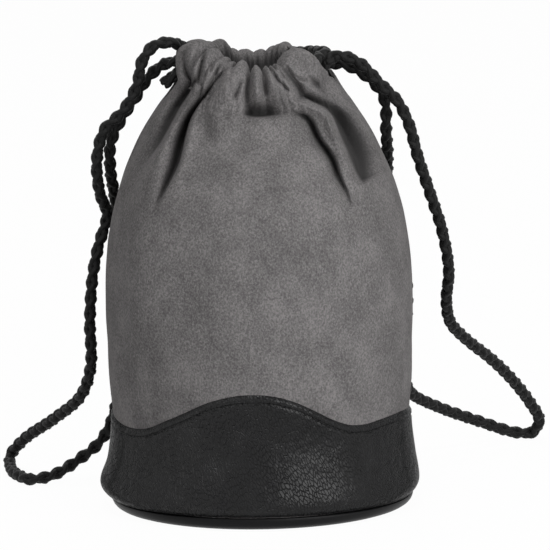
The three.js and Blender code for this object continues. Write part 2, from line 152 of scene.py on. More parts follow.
# Folds of a half, drawn as they are seen from straight before it: each knot is a place across and up
# the picture, the depth away from the eye and the half-width. The two pairs after a line of knots are
# the share of that width and the sharpness of its left or lower side and of its right or upper side,
# EVEN where left out. True ends the fold square, within about SQUARE_EASE. Rolls stand out likewise.
SQUARE_EASE = 1.4
CRISP, FIRM, LIP = (0.14, 1.5), (0.25, 1.5), (0.4, 1.7)
EVEN, WEDGE, BROAD, ROUND, DRAPED = (1, 1.4), (1, 1.6), (1, 1.25), (1, 2), (1.2, 2)
FRONT_FOLDS = [
    ([(-9.6, 169.3, 3, 0.8), (-12.7, 166.1, 4, 0.9), (-15.6, 162.8, 4.6, 1.1), (-18.1, 159.2, 6, 1.2),
      (-21.2, 155.6, 8, 1.3), (-24.2, 151.4, 10, 1.5), (-26, 147.7, 12, 1.8), (-27.3, 143.3, 13, 2.2),
      (-28.7, 137.7, 13, 2.7), (-30.1, 132.5, 12, 2.9), (-31.7, 128.9, 10, 2.7), (-33.6, 125.2, 8, 2.3),
      (-35.9, 120.8, 5.5, 1.8), (-38.2, 116.7, 2.6, 1.4), (-40.1, 113.8, 0.1, 1.2)], WEDGE, CRISP),
    ([(-22.6, 164.5, 4, 1.4), (-24, 162.1, 7, 2), (-26.3, 158.5, 9, 2.6), (-29.4, 154.1, 10, 3.2),
      (-32, 149.6, 10, 3.6), (-34.4, 145.2, 9, 3.8), (-37, 140.8, 7.5, 3.8), (-39.7, 136.8, 5, 3.6),
      (-42, 133.5, 2.6, 3.4), (-45, 128.5, 0.4, 3)], WEDGE, CRISP),
    ([(13.3, 151.6, 1, 1.2), (16.1, 150.6, 4.5, 1.6), (19.4, 149.4, 7, 2), (21.7, 146.7, 8.5, 2.2),
      (23.2, 142.9, 9, 2.4), (24.9, 139.5, 9, 2.4), (27.2, 136.5, 9, 2.4), (29.6, 132.4, 8.5, 2.4),
      (30.9, 128.2, 8, 2.3), (32.3, 124.5, 6.5, 2.2), (34.2, 120.4, 4.4, 2), (35.4, 116.7, 2.4, 1.8),
      (36, 113, 0.1, 1.6)], EVEN, FIRM),
    ([(17.6, 157.5, 8, 1.6), (22.1, 155.2, 10, 2.2), (26.7, 153, 11, 3.2), (30, 149.6, 13, 4.4),
      (32, 145.5, 15, 5.6), (33.9, 140.9, 16, 6.4), (36, 136.2, 15, 6.8), (37.7, 131.5, 13, 7),
      (39.2, 127.4, 10.5, 7), (40.6, 124.6, 8, 7)], CRISP, BROAD, True),
    ([(-3.3, 150.1, 8, 3), (-1.4, 150, 9, 4.4), (0.9, 149.9, 9, 4.6), (3.9, 149.9, 7.6, 4.4),
      (6.5, 150, 5.6, 3.8), (8.3, 150.1, 4, 3.2), (10.5, 150.4, 2.4, 2.4),
      (12.4, 151, 1.4, 2)], CRISP, ROUND, True),
    ([(-2.1, 166.1, 4, 0.6), (-2.9, 160.1, 5, 0.8), (-3.5, 152.7, 5, 0.9)],),
    ([(3.3, 165.4, 4, 0.6), (3.5, 161.8, 4.4, 0.7), (4, 158, 3.4, 0.8)],),
    ([(6.2, 167.5, 3, 0.6), (8.6, 163.5, 3.4, 0.6), (12.4, 159.6, 2.6, 0.7)],),
    ([(8.7, 168, 2.4, 0.5), (11.7, 164.1, 3, 0.6), (15, 160.3, 2.4, 0.6)],),
    ([(10.3, 168.8, 6, 1.1), (13.6, 164.4, 7.4, 1.3), (16.6, 160.4, 7.4, 1.4), (17.6, 157.4, 7, 1.3)],),
    ([(15.1, 164.7, 2.4, 0.8), (18.2, 163.3, 3.4, 0.9), (21.6, 164.1, 1.8, 0.9)],),
    ([(21, 164.4, 3, 1.2), (23.4, 161.7, 6, 1.7), (26.1, 158.8, 3, 1.4)],),
    ([(-18.9, 177.4, 3.4, 0.7), (-20.1, 172.4, 4.6, 0.8), (-22.1, 163.4, 4.6, 1)],),
    ([(-22.1, 177.9, 2, 0.5), (-22.9, 172.2, 1.6, 0.6)],),
    ([(-16.1, 173.2, 3, 0.6), (-17.1, 167.6, 2.2, 0.6)],),
    ([(-11.7, 173.1, 2.6, 0.6), (-14.4, 167.6, 3.4, 0.7), (-15.7, 163.4, 3, 0.9)],),
    ([(-9.5, 171.6, 2.4, 0.6), (-12.3, 167.8, 3, 0.7)],),
    ([(-25.8, 177.3, 3.4, 0.8), (-27.5, 171.8, 4.4, 1), (-26.7, 167.4, 5, 1.1), (-24.5, 163.5, 5.4, 1.3)],),
    ([(-5.9, 162.3, 2.4, 0.8), (-7.7, 157.7, 3, 1), (-8.7, 155.7, 1.4, 1)],),
    ([(-13, 149.1, 0.8, 2.6), (-10.2, 150.6, 2, 2.6), (-7.4, 151.5, 0.8, 2)],),
    ([(14.5, 174.5, 1, 3), (18.1, 171, 2.6, 4), (22, 166, 1.6, 3.6)],),
]
FRONT_ROLLS = [
    [(-9, 146.6, 0.8, 3), (-4.1, 148.2, 2.2, 3), (2.1, 147.7, 3, 3.4), (8.3, 147.6, 2.8, 3.2),
     (13.9, 147.9, 1.4, 2.6)],
    [(-21, 162.5, 1, 1.6), (-25.6, 155.5, 2.6, 1.8), (-31, 147, 3, 2), (-36, 137.9, 3, 2.4),
     (-39.8, 129.4, 2, 3), (-42.5, 121, 0.6, 3.6)],
    [(13.4, 155.1, 1, 1.4), (20.8, 152.9, 3, 1.6), (26.6, 149.7, 4, 1.8), (29.3, 143.4, 4.6, 2.2),
     (32.2, 135.9, 4.4, 2.4), (35.2, 128.5, 3, 2.6), (38.2, 120.4, 0.6, 3)],
    [(39.4, 121.9, 1, 2.4), (43.2, 123.7, 2.4, 2.4), (46.9, 126.7, 1.6, 2.4)],
    [(-22.6, 151.8, 1, 1.6), (-25, 144.4, 2.4, 1.8), (-26.5, 138.2, 2.4, 2), (-28.8, 130.8, 1.6, 2.2),
     (-32.4, 122.2, 0.6, 2.4)],
    [(24, 158, 1, 2.5), (30, 154.5, 3, 3), (37.4, 150, 4.6, 3.4), (43.6, 143.2, 5.6, 3.8),
     (47, 136, 5.2, 3.8), (48.8, 129, 3, 4), (49.4, 123, 0.6, 4)],
    [(0.3, 166.5, 0.6, 2), (0.4, 162, 2, 2.2), (0.6, 157, 2.4, 2.4)],
    [(6.3, 165, 0.6, 1.8), (7.6, 161, 1.8, 2), (9.2, 157.5, 2, 2.2)],
]
REAR_FOLDS = [
    ([(-15.7, 164.4, 3, 1.8), (-20.6, 154.3, 6, 2.6), (-28.2, 139.6, 6.5, 3.8), (-35, 123.2, 3.4, 5),
      (-39.7, 107, 0.2, 6)], DRAPED, LIP),
    ([(-24.8, 164.8, 3.6, 2), (-31.5, 154.2, 6, 3.2), (-38.7, 141.9, 5.6, 4.6),
      (-46.8, 123.8, 0.4, 7)], DRAPED, LIP),
    ([(-4.9, 163.7, 2.4, 1.4), (-7, 151, 4.6, 2), (-10.6, 138, 4, 3.2), (-13.3, 121, 0.4, 5)],),
    ([(7.6, 163.8, 2.8, 1.4), (11.3, 151.2, 5.6, 2.2), (17.8, 138.4, 6, 3), (24.4, 119.7, 3, 5),
      (28.5, 101.4, 0.2, 7)], LIP, DRAPED),
    ([(19.4, 164.8, 3.2, 1.8), (25.3, 153.9, 6.6, 2.8), (33.6, 140.6, 6.4, 4.4), (40.4, 124.2, 2.4, 6),
      (44, 112.1, 0.2, 7)], LIP, DRAPED),
    ([(27.3, 164.4, 3, 2), (33.3, 154.8, 5, 3.4), (41.7, 140.6, 2.4, 5), (47.9, 126.6, 0.2, 7)],),
    ([(-11.8, 167, 1.6, 0.8), (-11.2, 156.8, 1.4, 1)],),
    ([(0.5, 165.6, 1.8, 0.8), (1.2, 154.2, 1.6, 1)],),
    ([(13.8, 168.1, 1.8, 0.8), (15.7, 160.4, 1.4, 1)],),
    ([(-20.2, 170.8, 1.6, 0.8), (-21.9, 162.2, 1.4, 1)],),
    ([(24.1, 171.5, 1.6, 0.8), (25.5, 163.9, 1.4, 1)],),
]
REAR_ROLLS = [
    [(-21.9, 161.2, 1.4, 2.8), (-30, 149, 2.6, 3.6), (-39, 130.5, 1.4, 5), (-44.2, 114.3, 0.2, 6)],
    [(-12, 158, 1.4, 3), (-17.7, 145, 2.4, 4), (-22.9, 128.1, 1.2, 6), (-26.5, 111.5, 0.2, 7)],
    [(2.2, 157.6, 1.4, 3), (3.5, 144.3, 2.4, 4.4), (5.1, 127.1, 1.2, 6), (6.7, 108.3, 0.2, 8)],
    [(14.8, 160.3, 1.2, 2.4), (21.9, 147.7, 2.6, 3.2), (29.5, 131, 1.8, 4.6), (34.7, 114.6, 0.2, 6)],
    [(26.3, 160, 1.2, 2.6), (34.6, 147.8, 2, 3.6), (42.7, 131.5, 0.8, 5), (47.1, 119.5, 0.1, 6)],
]

# Ruffles of the casing: where each begins at the casing's top and at its foot, in degrees, and how
# far it stands out
FRONT_RUFFLES = [
    (-94, -94, 1.4), (-61, -66, 2.8), (-43.5, -52, 2.8), (-31.5, -42, 1.8), (-24, -38, 1.3), (-17, -35, 3.4),
    (-4.3, -5, 2.8), (6.2, 7.5, 2.4), (12, 19, 1.3), (15.5, 24, 1.4), (19.5, 29, 3), (86, 86, 0),
]
REAR_RUFFLES = [
    (-92, -92, 1.2), (-64, -66, 2.2), (-52, -56, 1.8), (-41, -45, 2.2), (-30, -33, 1.6), (-21, -23, 2.4),
    (-9, -10, 1.8), (1, 1, 2.1), (14, 15, 1.6), (22, 24, 2.6), (38, 41, 1.8), (48, 53, 2.4), (62, 66, 1.6),
    (92, 92, 0),
]
CASING_PUFF = 2.2
CRINKLE_DEPTH = 0.9
SOFT_CORNER = 2.4
SCALLOP_SHARE = 0.5
CASING_UPWARD = 0.25
SLACK_DEPTH = 0.4
SEAM_DEPTH = 0.8
OVER_BAND_SWELL = 0.6
FREE_DEPTH = 30
# How far the suede is darkened with painted shade inside the mouth, as a share
MOUTH_SHADE = 0.9
# Where the front casing's foot runs out softly into the shoulder: turn, width and reach
SOFT_FOOT = [(-21, 12, 12), (48, 18, 14)]
# Height of the casing's upper edge over its even line: turn and rise
FRONT_TOP = [
    (-90, -2.5), (-80, -1), (-74, -0.4), (-62, -1.4), (-57, 1.6), (-53, 2.8), (-48, 3), (-43.5, 1.6),
    (-40, 2.8), (-37, 3), (-33.5, 2), (-31.5, 1), (-29, 1.6), (-26, 2), (-23, 1), (-19, 1.4), (-16.6, -0.4),
    (-14, 1), (-11, 1.5), (-7.5, 1), (-5.4, -0.4), (-4.3, -2.2), (-2.9, -0.6), (0, 0), (2.9, -0.3), (5, -0.9),
    (6.2, -2), (7.3, -0.8), (9.5, -0.2), (11, -0.5), (12, -1.2), (14, 0.2), (15.5, -0.6), (17.5, 0.4),
    (19.5, 0.2), (23, 1.8), (28, 3), (36, 3.2), (44, 2), (52, 0.4), (90, 0),
]
REAR_TOP = [
    (-90, 0), (-60, 0), (-40, -1), (-32, -1.6), (-26, 0), (-21, 0.4), (-17, -1.2), (0, -2), (20, -1.6),
    (29, 0.6), (40, -0.6), (58, -1.4), (70, -2.2), (90, -2.4),
]
PLEAT_DEGREES = 6.5
PLEAT_SEED = 11

STEPS_ACROSS = 280
LATHE_STEPS = 160

# Softboxes: azimuth and elevation in degrees, distance and size in metres, power in watts
LAMPS = {
    "key_softbox": (-6, 63, 1.3, 0.3, 5.5),
    "side_softbox": (38, 12, 1.2, 1.0, 10),
    "fill_softbox": (-40, 30, 1.5, 0.8, 1.4),
    "back_softbox": (178, 48, 1.4, 0.8, 5),
}
LAMP_AIM = (0, 0, 0.09)
WORLD_LEVEL = 0.22
PAPER_GLOW = 0.97
FLOOR_HALF = 6000
FLOOR_DROP = 0.1

SUEDE_HEX = "696767"
SUEDE_DARK_HEX = "525050"
SUEDE_PALE_HEX = "807D7D"
# Colour of the painted shade in the suede's deep folds and inside the mouth
SUEDE_PAINTED_SHADE_HEX = "3A3939"
SUEDE_SHEEN_HEX = "A7A2A0"
LEATHER_HEX = "0F0F10"
LEATHER_DARK_HEX = "0B0B0C"
LEATHER_PALE_HEX = "121213"
CORD_HEX = "121212"
CORD_DARK_HEX = "090909"
CORD_PALE_HEX = "222222"
LINING_HEX = "333335"
LINING_DARK_HEX = "262628"
FOAM_HEX = "C4C2B8"
FOAM_DARK_HEX = "B4B1A6"
BOARD_HEX = "8A7A62"
BOARD_DARK_HEX = "77684F"
THREAD_HEX = "141414"
THREAD_DARK_HEX = "0C0C0C"
PAPER_HEX = "F4F4F4"


def linear(hexcode):
    """Linear colour with alpha from an sRGB hex value."""
    parts = [int(hexcode[k:k + 2], 16) / 255 for k in (0, 2, 4)]
    return (*[c / 12.92 if c <= 0.04045 else ((c + 0.055) / 1.055) ** 2.4 for c in parts], 1)


def smooth(value, low, high):
    """0 up to `low`, 1 from `high` on, eased between them."""
    share = np.clip((value - low) / (high - low), 0, 1)
    return share * share * (3 - 2 * share)


def bell(away, width):
    """1 where `away` is 0, falling off over `width`."""
    return np.exp(-((away / width) ** 2))


def spline(points, step):
    """Points about every `step` along a centripetal Catmull-Rom curve through the given points."""
    points = np.array(points, float)
    ends = [2 * points[0] - points[1]], [2 * points[-1] - points[-2]]
    knots = np.vstack([ends[0], points, ends[1]])
    gaps = np.linalg.norm(np.diff(knots, axis=0), axis=1) ** 0.5
    out = []
    for k in range(1, len(knots) - 2):
        p0, p1, p2, p3 = knots[k - 1:k + 3]
        d0, d1, d2 = gaps[k - 1:k + 2]
        leave = ((p1 - p0) / d0 - (p2 - p0) / (d0 + d1) + (p2 - p1) / d1) * d1
        arrive = ((p2 - p1) / d1 - (p3 - p1) / (d1 + d2) + (p3 - p2) / d2) * d1
        count = max(2, int(math.ceil(np.linalg.norm(p2 - p1) / step)))
        t = np.linspace(0, 1, count, endpoint=False)[:, None]
        out.append(
            (2 * t**3 - 3 * t**2 + 1) * p1 + (t**3 - 2 * t**2 + t) * leave
            + (3 * t**2 - 2 * t**3) * p2 + (t**3 - t**2) * arrive
        )
    return np.vstack([*out, points[-1:]])


def lengths(points):
    """Length along a line of points, from its start to each of them."""
    return np.concatenate([[0], np.cumsum(np.linalg.norm(np.diff(points, axis=0), axis=1))])


def resample(values, places, along=None):
    """Rows of values at some places along a line; the rows are its points unless `along` is given."""
    along = lengths(values) if along is None else along
    return np.stack([np.interp(places, along, column) for column in values.T], axis=1)


def at_turn(radius, turn, height):
    """Points of the front half from cylinder coordinates."""
    angle = np.radians(turn)
    return np.stack(np.broadcast_arrays(radius * np.sin(angle), -radius * np.cos(angle), height), axis=-1)


def new_object(name, data):
    """Object in the scene."""
    made = bpy.data.objects.new(name, data)
    bpy.context.scene.collection.objects.link(made)
    return made


def make_mesh(name, points, faces, material, uv=None):
    """Object at the origin whose mesh holds its place, from points in millimetres."""
    mesh = bpy.data.meshes.new(name)
    mesh.from_pydata((np.asarray(points, float) * MM).tolist(), [], faces)
    mesh.shade_smooth()
    if uv is not None:
        layer = mesh.uv_layers.new(name="UVMap")
        corners = np.zeros(len(mesh.loops), np.int32)
        mesh.loops.foreach_get("vertex_index", corners)
        layer.data.foreach_set("uv", np.asarray(uv, np.float32)[corners].ravel())
    mesh.materials.append(material)
    mesh.update()
    made = new_object(name, mesh)
    return made


def grid_faces(rows, columns, start=0, flip=False, wrap=False):
    """Quads of a grid of points, `wrap` closing it across the columns."""
    across = columns if wrap else columns - 1
    faces = []
    for row in range(rows - 1):
        for column in range(across):
            beside = (column + 1) % columns
            a, b = start + row * columns + column, start + row * columns + beside
            c, d = start + (row + 1) * columns + beside, start + (row + 1) * columns + column
            faces.append((d, c, b, a) if flip else (a, b, c, d))
    return faces


def border(rows, columns):
    """Indices round a grid's edge, in order, and of the point one step in from each."""
    bottom = [(0, k, 1, k) for k in range(columns)]
    right = [(k, columns - 1, k, columns - 2) for k in range(1, rows)]
    top = [(rows - 1, k, rows - 2, k) for k in range(columns - 2, -1, -1)]
    left = [(k, 0, k, 1) for k in range(rows - 2, 0, -1)]
    ring = bottom + right + top + left
    return [a * columns + b for a, b, _, _ in ring], [c * columns + d for _, _, c, d in ring]


def shell_mesh(name, outer, inner, material, slot, flat=None):
    """Closed cloth or leather between two grids of points, with a rounded edge all the way round."""
    rows, columns = outer.shape[:2]
    outside, inside = outer.reshape(-1, 3), inner.reshape(-1, 3)
    count = rows * columns
    ring, near = border(rows, columns)
    middle = (outside[ring] + inside[ring]) / 2
    outward = middle - (outside[near] + inside[near]) / 2
    outward /= np.linalg.norm(outward, axis=1, keepdims=True) + 1e-9
    thick = np.linalg.norm(outside[ring] - inside[ring], axis=1, keepdims=True)
    points = np.vstack([outside, inside, middle + outward * thick * EDGE_BULGE])
    faces = grid_faces(rows, columns) + grid_faces(rows, columns, count, flip=True)
    size = len(ring)
    for k in range(size):
        after = (k + 1) % size
        a, b = ring[k], ring[after]
        m, n = 2 * count + k, 2 * count + after
        faces.append((b, a, m, n))
        faces.append((n, m, count + a, count + b))
    if flat is not None:
        flat = flat.reshape(-1, 2)
        flat = np.vstack([flat, flat, flat[ring]])
    return make_mesh(name, points, faces, material, flat)


def front_lift(turn):
    """How much higher the base's seam lies in front than at the sides."""
    return FRONT_LIFT * np.clip(np.cos(np.radians(turn)), 0, 1) ** 2


def lathe_mesh(name, outline, material, lift_from=None):
    """Body of revolution about +Z, closed at the axis, from radius and height points going up.

    Points above the height `lift_from` rise with the base's seam."""
    outline, steps = np.array(outline, float), LATHE_STEPS
    turns = np.arange(steps) * 360 / steps
    middle = outline[1:-1]
    heights = np.broadcast_to(middle[:, 1:], (len(middle), steps))
    if lift_from is not None:
        heights = heights + front_lift(turns)[None, :] * smooth(heights, lift_from, BASE_RIM_HEIGHT)
    rings = at_turn(middle[:, :1], turns[None, :], heights)
    count = len(middle) * steps
    points = np.vstack([rings.reshape(-1, 3), [[0, 0, outline[0, 1]], [0, 0, outline[-1, 1]]]])
    faces = grid_faces(len(middle), steps, wrap=True)
    last = (len(middle) - 1) * steps
    for k in range(steps):
        after = (k + 1) % steps
        faces.append((after, k, count))
        faces.append((last + k, last + after, count + 1))
    return make_mesh(name, points, faces, material)


def ring_mesh(name, outline, material):
    """Ring about +Z from a closed outline of radius and height points, counter-clockwise."""
    outline, steps = np.array(outline, float), LATHE_STEPS
    turns = np.arange(steps) * 360 / steps
    rings = at_turn(outline[:, :1], turns[None, :], outline[:, 1:] + front_lift(turns)[None, :])
    count = len(outline) * steps
    faces = [tuple(k % count for k in face) for face in grid_faces(len(outline) + 1, steps, wrap=True)]
    return make_mesh(name, rings.reshape(-1, 3), faces, material)


# Materials

def add(tree, kind, links=None, **settings):
    """Adds a node; `links` gives its inputs, each a value, an output, or a node for its first output."""
    made = tree.nodes.new(kind)
    for key, value in settings.items():
        setattr(made, key, value)
    for key, value in (links or {}).items():
        if isinstance(value, bpy.types.Node):
            value = value.outputs[0]
        if isinstance(value, bpy.types.NodeSocket):
            tree.links.new(value, made.inputs[key])
        else:
            made.inputs[key].default_value = value
    return made


def new_material(name, build, *settings, **more):
    """Material whose nodes `build` adds to its tree, giving back the surface."""
    material = bpy.data.materials.new(name)
    material.use_nodes = True
    tree = material.node_tree
    tree.nodes.clear()
    add(tree, "ShaderNodeOutputMaterial", {"Surface": build(tree, *settings, **more)})
    return material


def ramp(tree, value, stops):
    """Colour ramp over a value from (place, hex) stops."""
    made = add(tree, "ShaderNodeValToRGB", {"Fac": value})
    elements = made.color_ramp.elements
    while len(elements) < len(stops):
        elements.new(0.5)
    for element, (place, hexcode) in zip(elements, stops):
        element.position = place
        element.color = linear(hexcode)
    return made.outputs["Color"]


def per_mm(size):
    """Noise scale, in metres, that gives features about this many millimetres wide."""
    return 1 / (size * MM)


def mottle(tree, place, scale, detail, roughness=0.5, output="Fac"):
    """Noise over a place."""
    return add(tree, "ShaderNodeTexNoise", {
        "Vector": place, "Scale": scale, "Detail": detail, "Roughness": roughness}).outputs[output]


def bumped(tree, height, strength, distance, under=None):
    """Relief of some height, in metres, over another one where that is given."""
    more = {} if under is None else {"Normal": under}
    return add(tree, "ShaderNodeBump", {
        "Height": height, "Strength": strength, "Distance": distance, **more})


def microsuede(tree):
    """Brushed microfibre suede: short nap, mottled where it lies differently, with painted shade in its deep
    folds and inside the mouth.
    """
    place = add(tree, "ShaderNodeTexCoord").outputs["Object"]
    hung = add(tree, "ShaderNodeMapping", {"Vector": place, "Scale": (1, 1, 0.8)})
    nap = mottle(tree, hung, per_mm(0.7), 2.0, 0.7)
    cloud = mottle(tree, hung, per_mm(12), 4.0, 0.6)
    mixed = add(tree, "ShaderNodeMix", {"Factor": 0.34, "A": nap, "B": cloud})
    colour = ramp(tree, mixed, [(0.36, SUEDE_DARK_HEX), (0.5, SUEDE_HEX), (0.64, SUEDE_PALE_HEX)])
    # Painted shade: the colour darkens towards the shade colour where a fold lies deep and inside the mouth
    painted_shade = add(tree, "ShaderNodeAttribute", attribute_name="painted_shade").outputs["Fac"]
    colour_with_painted_shade = add(tree, "ShaderNodeMixRGB", {"Fac": painted_shade, "Color1": colour, "Color2": linear(SUEDE_PAINTED_SHADE_HEX)})
    bump = bumped(tree, nap, 0.5, 0.0004)
    return add(tree, "ShaderNodeBsdfPrincipled", {
        "Base Color": colour_with_painted_shade, "Roughness": 0.95, "Specular IOR Level": 0.1, "Sheen Weight": 0.06,
        "Sheen Roughness": 0.5, "Sheen Tint": linear(SUEDE_SHEEN_HEX), "Normal": bump})


def pebbled_leather(tree):
    """Black shrunken leather: small raised pebbles drawn out on a slant, satin on top, dull between.

    Its UV map is the flat hide in millimetres, so a scale of 0.42 gives pebbles of about 2.4 mm."""
    place = add(tree, "ShaderNodeUVMap", uv_map="UVMap").outputs[0]
    warp = mottle(tree, place, 0.3, 2.0, output="Color")
    bent = add(tree, "ShaderNodeMixRGB", {"Fac": 1.0, "Color1": place, "Color2": warp}, blend_type="ADD")
    slant = add(tree, "ShaderNodeMapping", {
        "Vector": bent, "Rotation": (0, 0, math.radians(-62)), "Scale": (1, 0.42, 1)}, vector_type="TEXTURE")
    cells = add(tree, "ShaderNodeTexVoronoi", {"Vector": slant, "Scale": 0.42},
                feature="DISTANCE_TO_EDGE", voronoi_dimensions="2D")
    pebble = add(tree, "ShaderNodeMapRange", {"Value": cells.outputs["Distance"], "From Max": 0.16},
                 interpolation_type="SMOOTHSTEP")
    depth = add(tree, "ShaderNodeMapRange", {
        "Value": mottle(tree, place, 0.06, 2.0), "From Min": 0.35, "From Max": 0.65,
        "To Min": 0.5, "To Max": 1.0})
    pebbles = bumped(tree, pebble, depth, 0.0006)
    uneven = bumped(tree, mottle(tree, place, 0.22, 2.0), 1.0, 0.0005, pebbles)
    skin = bumped(tree, mottle(tree, place, 1.5, 4.0), 0.15, 0.0003, uneven)
    colour = ramp(tree, pebble, [(0.0, LEATHER_DARK_HEX), (0.5, LEATHER_HEX), (1.0, LEATHER_PALE_HEX)])
    rough = add(tree, "ShaderNodeMapRange", {"Value": pebble, "To Min": 0.5, "To Max": 0.28})
    facing_away = add(tree, "ShaderNodeLayerWeight", {"Blend": 0.5}).outputs["Facing"]
    shine = add(tree, "ShaderNodeMapRange", {
        "Value": facing_away, "From Min": 0.15, "From Max": 0.6, "To Min": 0.25, "To Max": 0.02})
    return add(tree, "ShaderNodeBsdfPrincipled", {
        "Base Color": colour, "Roughness": rough, "IOR": 1.5, "Specular IOR Level": shine, "Normal": skin})


def braided_nylon(tree):
    """Matt nylon yarn: fine filaments along each strand, their tone varying at random.

    Its UV map has millimetres along the cord and a share of the way round a strand."""
    place = add(tree, "ShaderNodeUVMap", uv_map="UVMap").outputs[0]
    drawn = add(tree, "ShaderNodeMapping", {"Vector": place, "Scale": (0.35, 9, 1)})
    yarn = mottle(tree, drawn, 2.2, 3.0)
    bump = bumped(tree, yarn, 0.6, 0.0002)
    colour = ramp(tree, yarn, [(0.3, CORD_DARK_HEX), (0.52, CORD_HEX), (0.75, CORD_PALE_HEX)])
    return add(tree, "ShaderNodeBsdfPrincipled", {
        "Base Color": colour, "Roughness": 0.6, "Specular IOR Level": 0.16, "Sheen Weight": 0.04,
        "Normal": bump})


def woven_lining(tree):
    """Plain-woven polyester lining, dark grey; threads are drawn at 0.7 mm so that they show."""
    place = add(tree, "ShaderNodeTexCoord").outputs["Object"]
    warp, weft = [
        add(tree, "ShaderNodeTexWave", {"Vector": place, "Scale": per_mm(0.7) / 6.28, "Distortion": 0.6},
            bands_direction=way).outputs["Fac"] for way in ("Z", "DIAGONAL")]
    weave = add(tree, "ShaderNodeMath", {0: warp, 1: weft}, operation="MULTIPLY")
    bump = bumped(tree, weave, 0.3, 0.0002)
    colour = ramp(tree, weave, [(0.0, LINING_DARK_HEX), (1.0, LINING_HEX)])
    return add(tree, "ShaderNodeBsdfPrincipled", {"Base Color": colour, "Roughness": 0.8, "Normal": bump})


def plain_stuff(tree, dark, pale, grain, roughness, detail=3.0, strength=0.3, depth=0.0003, specular=0.5):
    """One colour broken up by its grain, given in millimetres, with a little relief."""
    place = add(tree, "ShaderNodeTexCoord").outputs["Object"]
    speck = mottle(tree, place, per_mm(grain), detail)
    bump = bumped(tree, speck, strength, depth)
    colour = ramp(tree, speck, [(0.3, dark), (0.7, pale)])
    return add(tree, "ShaderNodeBsdfPrincipled", {
        "Base Color": colour, "Roughness": roughness, "Specular IOR Level": specular, "Normal": bump})


SUEDE = new_material("microsuede", microsuede)
LEATHER = new_material("pebbled_leather", pebbled_leather)
# The band's hide skived thin for the base and pressed nearly smooth: satin, hardly any grain
BASE_LEATHER = new_material(
    "smooth_leather", plain_stuff, LEATHER_DARK_HEX, LEATHER_PALE_HEX, 0.9, 0.42, detail=4.0, strength=0.2,
    depth=0.0002, specular=0.14)
NYLON = new_material("braided_nylon", braided_nylon)
LINING = new_material("woven_lining", woven_lining)
# Polyurethane foam with open cells, matt; hardboard with pressed fibres, dull; waxed thread, satin
FOAM = new_material("open_cell_foam", plain_stuff, FOAM_DARK_HEX, FOAM_HEX, 1.2, 1.0)
BOARD = new_material("pressed_board", plain_stuff, BOARD_DARK_HEX, BOARD_HEX, 0.8, 0.9)
THREAD = new_material("waxed_thread", plain_stuff, THREAD_DARK_HEX, THREAD_HEX, 0.3, 0.5)


# Camera, floor and light

def picture_camera():
    """Long lens at the place from which the photograph was taken."""
    camera = bpy.data.cameras.new("picture_camera")
    camera.sensor_width = SENSOR_WIDTH
    camera.lens = SENSOR_WIDTH * VIEW_DISTANCE / (PICTURE_PIXELS * PICTURE_SCALE)
    camera.clip_end = 100
    made = new_object("picture_camera", camera)
    rise = math.radians(VIEW_ELEVATION)
    back = Vector((0, -math.cos(rise), math.sin(rise)))
    turn = (-back).to_track_quat("-Z", "Y").to_matrix().to_4x4()
    roll = Matrix.Rotation(math.radians(-VIEW_ROLL), 4, "Z")
    place = Matrix.Translation((Vector(VIEW_TARGET) + back * VIEW_DISTANCE) * MM)
    made.matrix_world = place @ turn @ roll
    bpy.context.scene.camera = made


def softbox(name, azimuth, elevation, distance, size, power):
    """Round area lamp turned to the middle of the pouch."""
    lamp = bpy.data.lights.new(name, "AREA")
    lamp.shape = "DISK"
    lamp.size = size
    lamp.energy = power
    made = new_object(name, lamp)
    a, e = math.radians(azimuth), math.radians(elevation)
    back = Vector((math.sin(a) * math.cos(e), -math.cos(a) * math.cos(e), math.sin(e)))
    made.location = Vector(LAMP_AIM) + back * distance
    made.rotation_mode = "QUATERNION"
    made.rotation_quaternion = (-back).to_track_quat("-Z", "Y")


def seen_directly(tree):
    """1 where the eye, a reflection or a view through something meets the surface, else 0."""
    path = add(tree, "ShaderNodeLightPath")
    shiny = add(tree, "ShaderNodeMath", {
        0: path.outputs["Is Camera Ray"], 1: path.outputs["Is Glossy Ray"]}, operation="MAXIMUM")
    return add(tree, "ShaderNodeMath", {
        0: shiny, 1: path.outputs["Is Transmission Ray"]}, operation="MAXIMUM").outputs[0]


def white_world():
    """White to the eye and in reflections, a soft light on the object."""
    world = bpy.data.worlds.new("studio")
    world.use_nodes = True
    tree = world.node_tree
    tree.nodes.clear()
    level = add(tree, "ShaderNodeMapRange", {
        "Value": seen_directly(tree), "To Min": WORLD_LEVEL, "To Max": 1.0})
    light = add(tree, "ShaderNodeBackground", {"Color": (1, 1, 1, 1), "Strength": level})
    add(tree, "ShaderNodeOutputWorld", {"Surface": light})
    bpy.context.scene.world = world


def white_paper(tree):
    """White paper that stays near white to the eye and keeps a faint shadow."""
    paper = add(tree, "ShaderNodeBsdfDiffuse", {"Color": linear(PAPER_HEX)})
    glow = add(tree, "ShaderNodeEmission", {"Color": (1, 1, 1, 1), "Strength": 1.0})
    share = add(tree, "ShaderNodeMath", {0: seen_directly(tree), 1: PAPER_GLOW}, operation="MULTIPLY")
    return add(tree, "ShaderNodeMixShader", {0: share, 1: paper, 2: glow})


def pale_floor():
    """Sheet of paper a hair under the base."""
    corners = [(-1, -1), (1, -1), (1, 1), (-1, 1)]
    points = [(x * FLOOR_HALF * MM, y * FLOOR_HALF * MM, -FLOOR_DROP * MM) for x, y in corners]
    mesh = bpy.data.meshes.new("paper_floor")
    mesh.from_pydata(points, [], [(0, 1, 2, 3)])
    mesh.materials.append(new_material("white_paper", white_paper))
    new_object("paper_floor", mesh)


# Cords

def casing_height(turn):
    """Height of the middle between the two lanes."""
    return CASING_MIDDLE - COLLAR_DIP * math.cos(math.radians(turn)) ** 2


def lane_point(turn, lane):
    """Cord's middle in its lane; both lanes hang a little lower at the right slit."""
    sag = SLIT_SAG * smooth(math.sin(math.radians(turn)), 0.7, 0.97)
    return at_turn(CASING_RADIUS, turn, casing_height(turn) + lane * LANE_OFFSET - sag)


